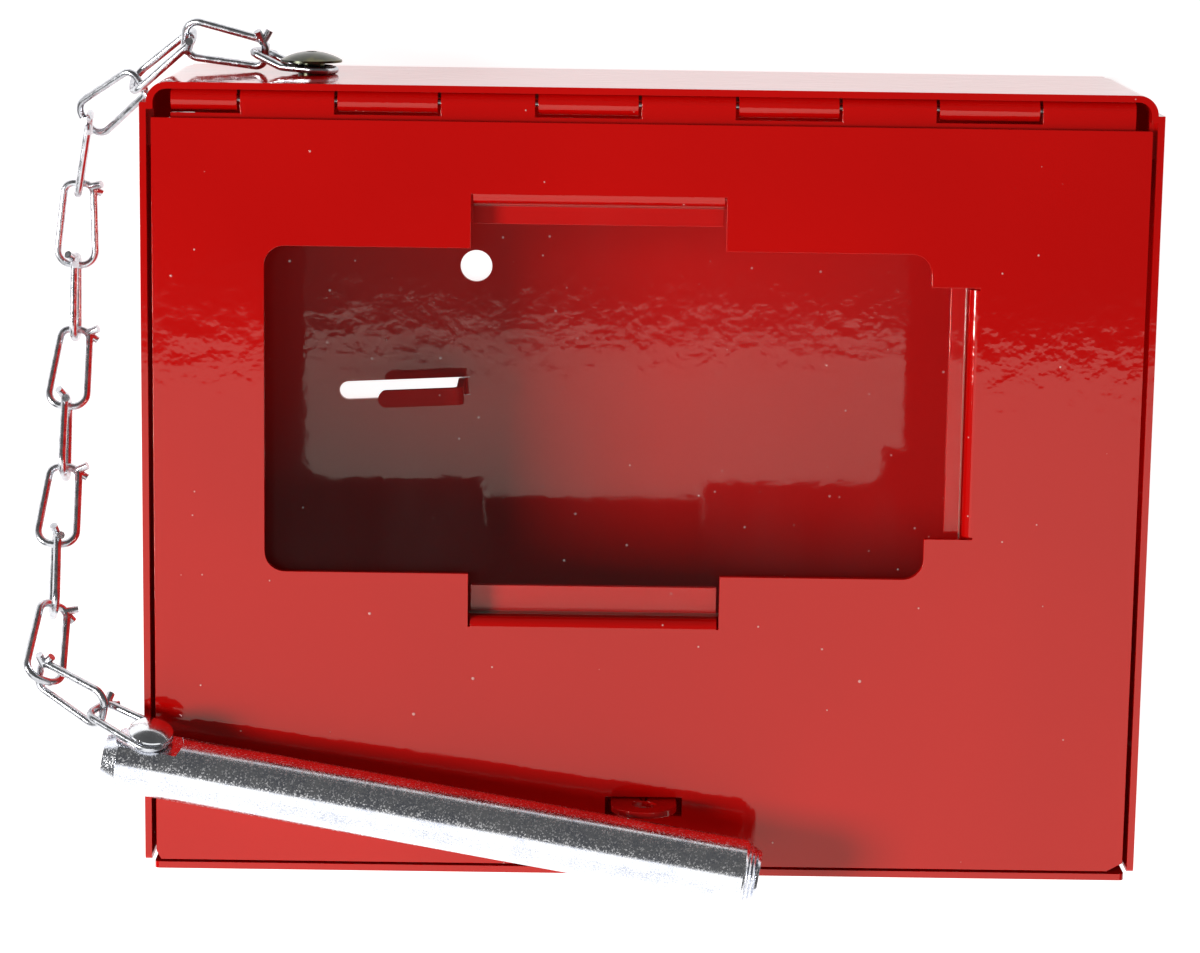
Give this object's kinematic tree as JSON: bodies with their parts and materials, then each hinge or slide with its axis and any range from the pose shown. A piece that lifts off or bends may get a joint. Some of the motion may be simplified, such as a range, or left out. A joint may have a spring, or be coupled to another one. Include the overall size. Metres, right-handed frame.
{
  "type": "break-glass key box",
  "caption": "Red sheet-steel emergency key box: hinged door with glass window, seal tongue, key hook inside, and a striker bar on a knotted wire chain.",
  "frame": {"origin": "centre of the casing's outer back face, which goes against the wall", "axes": "+Z out through the door, +Y towards the hinge edge, +X along the hinge; the box lies on its back with the chain on its -X side"},
  "size_m": [0.1688, 0.1276, 0.0561],
  "materials": {
    "red_paint": "glossy red powder coat",
    "glass": "clear float glass",
    "pin_steel": "drawn wire",
    "chromated_steel": "dark olive zinc chromate",
    "zinc_wire": "bright zinc plate",
    "zinc_bar": "spangled zinc plate"
  },
  "bodies": {
    "case": {"casing": "red_paint", "seal_bracket": "red_paint", "hinge_leaf_casing": "red_paint", "hinge_pin": "pin_steel", "chain_screw": "chromated_steel", "chain_screw_washer": "chromated_steel", "chain_screw_nut": "chromated_steel", "chain_link_01": "zinc_wire"},
    "door": {"door_panel": "red_paint", "hinge_leaf_door": "red_paint"},
    "glass": {"glass_pane": "glass"},
    "link_02": {"chain_link_02": "zinc_wire"},
    "link_03": {"chain_link_03": "zinc_wire"},
    "link_04": {"chain_link_04": "zinc_wire"},
    "link_05": {"chain_link_05": "zinc_wire"},
    "link_06": {"chain_link_06": "zinc_wire"},
    "link_07": {"chain_link_07": "zinc_wire"},
    "link_08": {"chain_link_08": "zinc_wire"},
    "link_09": {"chain_link_09": "zinc_wire"},
    "link_10": {"chain_link_10": "zinc_wire"},
    "link_11": {"chain_link_11": "zinc_wire"},
    "link_12": {"chain_link_12": "zinc_wire"},
    "link_13": {"chain_link_13": "zinc_wire"},
    "link_14": {"chain_link_14": "zinc_wire"},
    "bar": {"striker_bar": "zinc_bar", "striker_rivet": "zinc_wire"}
  },
  "joints": [
    {"name": "door_hinge", "type": "hinge", "parent": "case", "child": "door", "pos_m": [0, 0.0569, 0.0375], "axis": [-1, 0, 0], "range_deg": [0, 90]},
    {"name": "glass_slide", "type": "slide", "parent": "door", "child": "glass", "axis": [-1, 0, 0], "range_m": [0, 0.01]},
    {"name": "chain_joint_02", "type": "hinge", "parent": "case", "child": "link_02", "pos_m": [-0.05859, 0.06221, 0.01705], "axis": [-0.0989, -0.9367, -0.3357], "range_deg": [0, 6]},
    {"name": "chain_joint_03", "type": "hinge", "parent": "link_02", "child": "link_03", "pos_m": [-0.06975, 0.06473, 0.0149], "axis": [-0.0579, 0.3979, -0.9156], "range_deg": [0, 10]},
    {"name": "chain_joint_04", "type": "hinge", "parent": "link_03", "child": "link_04", "pos_m": [-0.07934, 0.05668, 0.01201], "axis": [-0.0579, 0.3979, -0.9156], "range_deg": [0, 10]},
    {"name": "chain_joint_05", "type": "hinge", "parent": "link_04", "child": "link_05", "pos_m": [-0.08668, 0.05155, 0.00696], "axis": [-0.0535, 0.2726, -0.9606], "range_deg": [0, 15]},
    {"name": "chain_joint_06", "type": "hinge", "parent": "link_05", "child": "link_06", "pos_m": [-0.08888, 0.04069, 0.00381], "axis": [-0.9986, 0.0523, 0], "range_deg": [0, 117]},
    {"name": "chain_joint_07", "type": "hinge", "parent": "link_06", "child": "link_07", "pos_m": [-0.08952, 0.02919, 0.00372], "axis": [0, -0.1392, -0.9903], "range_deg": [0, 25]},
    {"name": "chain_joint_08", "type": "hinge", "parent": "link_07", "child": "link_08", "pos_m": [-0.08948, 0.01774, 0.00508], "axis": [-0.9976, 0.0698, 0], "range_deg": [0, 25]},
    {"name": "chain_joint_09", "type": "hinge", "parent": "link_08", "child": "link_09", "pos_m": [-0.09024, 0.00769, 0.01064], "axis": [0.018, -0.5147, -0.8572], "range_deg": [0, 25]},
    {"name": "chain_joint_10", "type": "hinge", "parent": "link_09", "child": "link_10", "pos_m": [-0.08985, -0.00219, 0.01655], "axis": [-0.9986, 0.0523, 0], "range_deg": [0, 25]},
    {"name": "chain_joint_11", "type": "hinge", "parent": "link_10", "child": "link_11", "pos_m": [-0.09041, -0.01184, 0.0228], "axis": [-0.2295, -0.5668, -0.7912], "range_deg": [0, 25]},
    {"name": "chain_joint_12", "type": "hinge", "parent": "link_11", "child": "link_12", "pos_m": [-0.08986, -0.02235, 0.03017], "axis": [-0.2295, -0.5668, -0.7912], "range_deg": [0, 25]},
    {"name": "chain_joint_13", "type": "hinge", "parent": "link_12", "child": "link_13", "pos_m": [-0.09053, -0.03097, 0.03777], "axis": [0.841, -0.3876, -0.3774], "range_deg": [0, 10]},
    {"name": "chain_joint_14", "type": "hinge", "parent": "link_13", "child": "link_14", "pos_m": [-0.08076, -0.03452, 0.04313], "axis": [-0.2145, -0.9298, -0.2991], "range_deg": [0, 20]},
    {"name": "bar_swivel", "type": "hinge", "parent": "link_14", "child": "bar", "pos_m": [-0.07317, -0.03709, 0.04738], "axis": [-0.1212, -0.9279, -0.3526], "range_deg": [0, 10]}
  ],
  "couplings": [
    {"joint": "chain_joint_06", "follows": "door_hinge", "ratio": 1.3}
  ]
}
